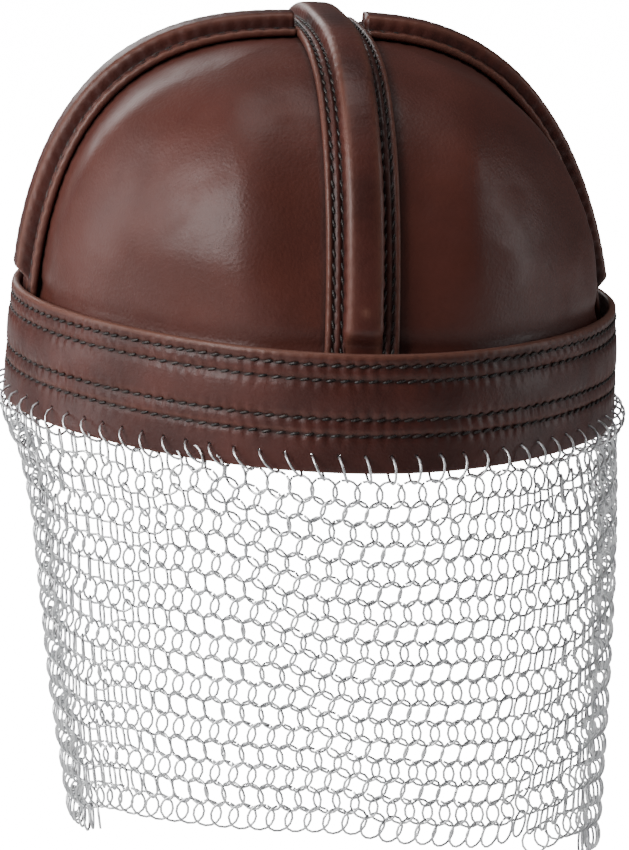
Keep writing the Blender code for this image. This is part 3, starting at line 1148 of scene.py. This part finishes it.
@dataclass(frozen=True)
class Drape:
    """The mail's outline at one height: how far down it is, and its sizes there.

    The span is the angle between the free edges, and gather draws the columns together in the
    middle of the back.
    """

    drop: float
    plan: Plan
    span: float
    gather: float
    angles: tuple[float, ...] = ()

    def spread(self, steps: int) -> "Drape":
        """The same outline with angles that stand evenly along it.

        Args:
            steps: How many steps lie between the two free edges.

        Returns:
            The outline with its angles.
        """
        middle = math.acos(self.plan.sway / self.plan.half_width)
        half = math.radians(self.span) / 2.0
        angles = tuple(self.plan.even_angles(middle - half, middle + half, steps))
        return Drape(self.drop, self.plan, self.span, self.gather, angles)

    def point(self, across: float) -> Vector:
        """A point of the outline: across is -1 at the left free edge and 1 at the right."""
        steps = len(self.angles) - 1
        drawn = across - self.gather * math.sin(math.pi * across) / math.pi
        place = (drawn + 1.0) / 2.0 * steps
        index = min(max(int(place), 0), steps - 1)
        first, last = self.angles[index], self.angles[index + 1]
        return self.plan.point(first + (last - first) * (place - index))


DRAPES = tuple(
    drape.spread(84)
    for drape in (
        Drape(0.000, Plan(0.1055, 0.1152, -0.038, 0.0000, 0.000), 192.0, 0.02),
        Drape(0.008, Plan(0.1046, 0.1146, -0.034, 0.0008, 0.000), 191.0, 0.02),
        Drape(0.020, Plan(0.1018, 0.1100, -0.018, 0.0040, 0.002), 189.0, 0.03),
        Drape(0.040, Plan(0.0998, 0.1035, 0.002, 0.0066, 0.004), 187.0, 0.01),
        Drape(0.060, Plan(0.0985, 0.0970, 0.020, 0.0080, 0.006), 186.0, -0.01),
        Drape(0.100, Plan(0.0957, 0.0840, 0.030, 0.0104, 0.011), 184.0, -0.06),
        Drape(0.136, Plan(0.0922, 0.0730, 0.030, 0.0132, 0.015), 182.0, -0.11),
        Drape(0.165, Plan(0.0895, 0.0640, 0.030, 0.0155, 0.018), 181.0, -0.12),
    )
)


@dataclass
class Ring:
    """One ring's place: its middle, the axis through its opening and the turn of its joint."""

    middle: Vector
    axis: Vector
    turn: float


@dataclass
class Mail:
    """Rings through the headband's edge, and the rows of rings that hang from them."""

    band: Plan = Plan(0.1055, 0.1152)
    rims: int = 42
    span: float = math.radians(196.0)
    columns: int = 48
    doubled: tuple[int, ...] = (3, 8, 13, 27, 33, 38)
    rows: int = 18
    hems: tuple[tuple[float, float], ...] = ((-0.62, 0.53), (-1.10, 0.74))
    radius: float = 0.00472
    wire: float = 0.00046
    ring_sides: int = 14
    wire_sides: int = 5
    joint: float = math.radians(7.0)
    rim_height: float = 0.0022
    hole_lean: float = math.radians(37.0)
    hole_reach: float = 0.00455
    hole_radius: float = 0.0006
    most_lean: float = math.radians(44.0)
    rim_reach: float = 0.0086
    settle: float = 0.0002
    reach: float = 0.00820
    low_reach: float = 0.00015
    side_reach: float = 0.00036
    yaw: float = math.radians(20.0)
    side_yaw: float = math.radians(12.0)
    jitter: float = math.radians(1.6)
    rim: list[Ring] = field(default_factory=list)
    net: list[list[Ring]] = field(default_factory=list)
    hung: list[Ring] = field(default_factory=list)

    def hole_frames(self) -> list[tuple[Vector, Vector]]:
        """For each rim ring the place of its hole and the way out of the band."""
        frames = []
        for index in range(self.rims):
            angle = math.pi / 2.0 + self.span * (index / (self.rims - 1) - 0.5)
            out = self.band.outward(angle)
            spot = self.band.point(angle) + UP * self.rim_height
            spot += UP * self.hole_reach * math.cos(self.hole_lean)
            spot -= UP.cross(out) * self.hole_reach * math.sin(self.hole_lean)
            frames.append((spot, out))
        return frames

    def holes(self) -> bpy.types.Object:
        """The rods that cut a hole for each rim ring through the headband."""
        shape = bmesh.new()
        for spot, out in self.hole_frames():
            place = out.to_track_quat("Z", "Y").to_matrix().to_4x4()
            place.translation = spot
            bmesh.ops.create_cone(
                shape,
                cap_ends=True,
                segments=10,
                radius1=self.hole_radius,
                radius2=self.hole_radius,
                depth=0.0104,
                matrix=place,
            )
        mesh = bpy.data.meshes.new("ring_holes")
        shape.to_mesh(mesh)
        shape.free()
        rods = bpy.data.objects.new("ring_holes", mesh)
        bpy.context.scene.collection.objects.link(rods)
        return rods

    @staticmethod
    def drape(across: float, drop: float) -> Vector:
        """A point of the mail's middle surface at this drop below the headband's edge."""
        above, below = DRAPES[0], DRAPES[1]
        for above, below in zip(DRAPES, DRAPES[1:]):
            if drop <= below.drop:
                break
        share = max((drop - above.drop) / (below.drop - above.drop), 0.0)
        spot = above.point(across).lerp(below.point(across), share)
        spot.z = -drop
        return spot

    def directions(self, across: float, drop: float) -> tuple[Vector, Vector]:
        """The way out of the mail and the level way along it, at this place."""
        along = (self.drape(across + 0.02, drop) - self.drape(across - 0.02, drop)).normalized()
        below = self.drape(across, drop + 0.004)
        down = (below - self.drape(across, max(drop - 0.004, 0.0))).normalized()
        return along.cross(down).normalized() * -1.0, along

    def hang(self, across: float, start: float, holders: list[Vector], reach: float) -> float:
        """How far down a ring hangs from the rings that hold it.

        Args:
            across: Where it is between the free edges.
            start: A drop that is too small.
            holders: The middles of the rings above that it is linked through.
            reach: How far two linked middles can be apart.

        Returns:
            The drop at which the farther holder is at full reach.
        """
        low, high = start, start + 0.014
        for _ in range(24):
            middle = (low + high) / 2.0
            spot = self.drape(across, middle)
            if max((spot - holder).length for holder in holders) < reach:
                low = middle
            else:
                high = middle
        return low

    def lay_rim(self, places: list[float]) -> list[float]:
        """Swing each rim ring about its hole, towards the net's first row.

        Args:
            places: Where the first row's rings are between the free edges.

        Returns:
            The drop of each ring in the first row.
        """
        drops, index = [], 0
        for number, (hole, out) in enumerate(self.hole_frames()):
            held = places[index : index + (2 if number in self.doubled else 1)]
            level = UP.cross(out)
            target = sum(((self.drape(place, 0.004) - hole).dot(level) for place in held)) / len(held)
            lean = math.asin(min(max(target / (2.0 * self.radius), -0.35), math.sin(self.most_lean)))
            upward = UP * math.cos(lean) - level * math.sin(lean)
            middle = hole - upward * self.radius
            self.rim.append(Ring(middle, out.cross(upward).normalized(), 0.5 * math.pi))
            drops += [self.hang(place, 0.0, [middle], self.rim_reach) for place in held]
            index += len(held)
        for _ in range(3):
            beside = drops[:1] + drops + drops[-1:]
            drops = [
                min(drop, (before + after) / 2.0 + self.settle)
                for drop, before, after in zip(drops, beside, beside[2:])
            ]
        return drops

    def lay(self) -> None:
        """Work out the place of every ring, from the rim down.

        The last rows, the hems, have rings only beyond the two places that are given for each.
        """
        luck = random.Random(7)
        step = 2.0 / (self.columns - 1)
        drops: list[float] = []
        for row in range(1, self.rows + len(self.hems) + 1):
            odd = row % 2
            places = [
                (index + (0.0 if odd else 0.5)) * step - 1.0
                for index in range(self.columns if odd else self.columns - 1)
            ]
            above = drops
            if row == 1:
                drops = self.lay_rim(places)
            else:
                spots, last = [ring.middle for ring in self.net[-1]], len(above) - 1
                drops = []
                for index, across in enumerate(places):
                    left = max(index - 1, 0) if odd else index
                    right = min(index, last) if odd else index + 1
                    start = min(above[left], above[right])
                    share = min(abs(across) / 0.75, 1.0)
                    reach = self.reach + self.low_reach * min(start / 0.1, 1.0) * (1.0 - share)
                    reach += self.side_reach * ease(share)
                    drops.append(self.hang(across, start, [spots[left], spots[right]], reach))
            lean = Lean.RIGHT_EDGE_OUT if odd else Lean.LEFT_EDGE_OUT
            rings = []
            for across, drop in zip(places, drops):
                out, along = self.directions(across, drop)
                yaw = self.yaw + self.side_yaw * ease(abs(across))
                axis = out * math.cos(yaw) + along * math.sin(yaw) * lean.value
                tilt = Vector([luck.uniform(-1.0, 1.0) for _ in range(3)]) * self.jitter
                axis = (axis + tilt.cross(axis)).normalized()
                shake = Vector([luck.uniform(-1.0, 1.0) for _ in range(3)]) * 0.00006
                rings.append(Ring(self.drape(across, drop) + shake, axis, luck.uniform(-0.8, 0.8)))
            self.net.append(rings)
            low, high = self.hems[row - self.rows - 1] if row > self.rows else (1.0, -1.0)
            self.hung += [ring for ring, place in zip(rings, places) if place <= low or place >= high]

    def pattern(self) -> bpy.types.Mesh:
        """One ring round the Z axis, with its butted joint towards +X.

        Returns:
            A mesh that is copied for every ring.
        """
        shape = bmesh.new()
        shape.verts.layers.float.new("tone")
        bmesh.ops.create_circle(
            shape,
            cap_ends=False,
            segments=self.wire_sides,
            radius=self.wire,
            matrix=Matrix.Translation((self.radius, 0.0, 0.0)) @ Matrix.Rotation(math.pi / 2.0, 4, "X"),
        )
        bmesh.ops.rotate(
            shape, verts=shape.verts, cent=(0.0, 0.0, 0.0), matrix=Matrix.Rotation(self.joint / 2.0, 3, "Z")
        )
        bmesh.ops.spin(
            shape,
            geom=list(shape.verts) + list(shape.edges),
            cent=(0.0, 0.0, 0.0),
            axis=(0.0, 0.0, 1.0),
            angle=2.0 * math.pi - self.joint,
            steps=self.ring_sides,
            use_merge=False,
        )
        bmesh.ops.holes_fill(shape, edges=shape.edges, sides=0)
        bmesh.ops.recalc_face_normals(shape, faces=shape.faces)
        mesh = bpy.data.meshes.new("ring_pattern")
        shape.to_mesh(mesh)
        shape.free()
        return mesh

    def join(
        self, name: str, rings: list[Ring], material: bpy.types.Material, nodes: Iterable[str] = ()
    ) -> bpy.types.Object:
        """Copy the pattern to every ring's place and join the copies.

        Args:
            name: The piece's name.
            rings: Where the rings are.
            material: What they are made of.
            nodes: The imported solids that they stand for.

        Returns:
            The piece.
        """
        luck = random.Random(len(rings))
        pattern = self.pattern()
        shape = bmesh.new()
        tones = []
        for ring in rings:
            up = UP - ring.axis * UP.dot(ring.axis)
            up = (Matrix.Rotation(ring.turn, 3, ring.axis) @ up).normalized()
            place = Matrix.Identity(4)
            for index, column in enumerate((up, ring.axis.cross(up), ring.axis)):
                place.col[index].xyz = column
            place.translation = ring.middle
            copy = pattern.copy()
            copy.transform(place)
            shape.from_mesh(copy)
            tones += [luck.random() ** 2] * len(copy.vertices)
            bpy.data.meshes.remove(copy)
        bpy.data.meshes.remove(pattern)
        layer = shape.verts.layers.float.get("tone") or shape.verts.layers.float.new("tone")
        for vertex, tone in zip(shape.verts, tones):
            vertex[layer] = tone
        return finish_piece(name, shape, material, nodes)

    def build(self, steel: bpy.types.Material) -> list[bpy.types.Object]:
        """Make the rim rings and the net."""
        return [
            self.join("rim_rings", self.rim, steel),
            self.join("mail_rings", self.hung, steel, ("mail_curtain",)),
        ]


# Studio.


@dataclass
class Studio:
    """The floor, the lights and the camera at the photograph's viewing angle."""

    azimuth: float = math.radians(171.0)
    elevation: float = math.radians(11.9)
    roll: float = math.radians(2.9)
    distance: float = 2.213
    target: Vector = field(default_factory=lambda: Vector((-0.0024, 0.0, -0.0084)))
    lens: float = 179.0
    sensor: float = 24.0
    floor_height: float = -0.24
    floor_half: float = 6.0

    def floor(self) -> None:
        """Lay the pale floor."""
        shape = bmesh.new()
        bmesh.ops.create_grid(
            shape,
            x_segments=2,
            y_segments=2,
            size=self.floor_half,
            matrix=Matrix.Translation((0.0, 0.0, self.floor_height)),
        )
        mesh = bpy.data.meshes.new("floor")
        shape.to_mesh(mesh)
        shape.free()
        mesh.materials.append(FloorFinish().build())
        board = bpy.data.objects.new("floor", mesh)
        bpy.context.scene.collection.objects.link(board)

    def softbox(
        self, name: str, place: Vector, size: tuple[float, float], power: float
    ) -> bpy.types.Object:
        """Hang a soft area light that faces the helmet.

        Args:
            name: The light's name.
            place: Where it hangs.
            size: Its width and height.
            power: Its power in watts.

        Returns:
            The light.
        """
        data = bpy.data.lights.new(name, "AREA")
        data.shape = "RECTANGLE"
        data.size, data.size_y = size
        data.energy = power
        light = bpy.data.objects.new(name, data)
        light.location = place
        light.rotation_euler = (Vector((0.0, 0.0, 0.02)) - place).to_track_quat("-Z", "Y").to_euler()
        bpy.context.scene.collection.objects.link(light)
        return light

    def surround(self) -> None:
        """Fill the room with white light, brightest where the camera looks past the helmet."""
        world = bpy.data.worlds.new("white_room")
        world.use_nodes = True
        made = Tree(world.node_tree)
        sky = world.node_tree.nodes["Background"]
        made.feed(sky.inputs["Color"], (1.0, 1.0, 1.0, 1.0))
        path = made.add("ShaderNodeLightPath")
        strength = made.math("MULTIPLY", path.outputs["Is Camera Ray"], 16.0)
        made.feed(sky.inputs["Strength"], made.math("ADD", strength, 0.08))
        bpy.context.scene.world = world

    def camera(self) -> None:
        """Set the camera at the photograph's viewing angle."""
        data = bpy.data.cameras.new("camera")
        data.sensor_width = self.sensor
        data.lens = self.lens
        data.clip_start, data.clip_end = 0.1, 50.0
        away = Vector((
            math.sin(self.azimuth) * math.cos(self.elevation),
            -math.cos(self.azimuth) * math.cos(self.elevation),
            math.sin(self.elevation),
        ))
        eye = bpy.data.objects.new("camera", data)
        turn = (-away).to_track_quat("-Z", "Y").to_matrix()
        eye.rotation_euler = (turn @ Matrix.Rotation(self.roll, 3, "Z")).to_euler()
        eye.location = self.target + away * self.distance
        bpy.context.scene.collection.objects.link(eye)
        bpy.context.scene.camera = eye

    def build(self) -> None:
        """Set up the whole studio."""
        self.camera()
        self.floor()
        self.surround()
        self.softbox("key", Vector((1.50, 0.80, 0.95)), (1.1, 1.3), 40.0)
        self.softbox("left_side", Vector((1.5, -0.35, 0.25)), (0.4, 1.7), 11.0)
        self.softbox("right_side", Vector((-1.5, 0.05, 0.45)), (0.25, 1.4), 5.0)
        self.softbox("overhead", Vector((0.1, -0.1, 1.7)), (1.0, 0.8), 6.0)
        self.softbox("front", Vector((0.5, -1.7, 0.7)), (0.9, 0.9), 9.0)


def main() -> None:
    """Dress the helmet, piece by piece."""
    logging.basicConfig(level=logging.INFO, format="%(name)s %(message)s")
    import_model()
    effects = Effects()
    gore_leather = LeatherFinish(
        "moulded_leather_fine",
        base=(0.098, 0.027, 0.019, 1.0),
        deep=(0.076, 0.021, 0.015, 1.0),
        rubbed=(0.17, 0.062, 0.040, 1.0),
        raw_edge=(0.16, 0.07, 0.045, 1.0),
    ).build(effects)
    strap_leather = LeatherFinish(
        "strap_leather_fine",
        base=(0.084, 0.022, 0.016, 1.0),
        deep=(0.046, 0.012, 0.009, 1.0),
        rubbed=(0.19, 0.075, 0.050, 1.0),
        raw_edge=(0.15, 0.062, 0.042, 1.0),
    ).build(effects)
    thread = ThreadFinish().build(effects)
    steel = SteelFinish().build(effects)
    form = CrownForm()
    leather_pieces = Crown(form).build(gore_leather)
    mail = Mail()
    mail.lay()
    sewn = Ridges(form).build(strap_leather, thread)
    sewn += Headband().build(strap_leather, thread, mail.holes())
    for piece in mail.build(steel):
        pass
    Studio().build()


if __name__ == "__main__":
    main()
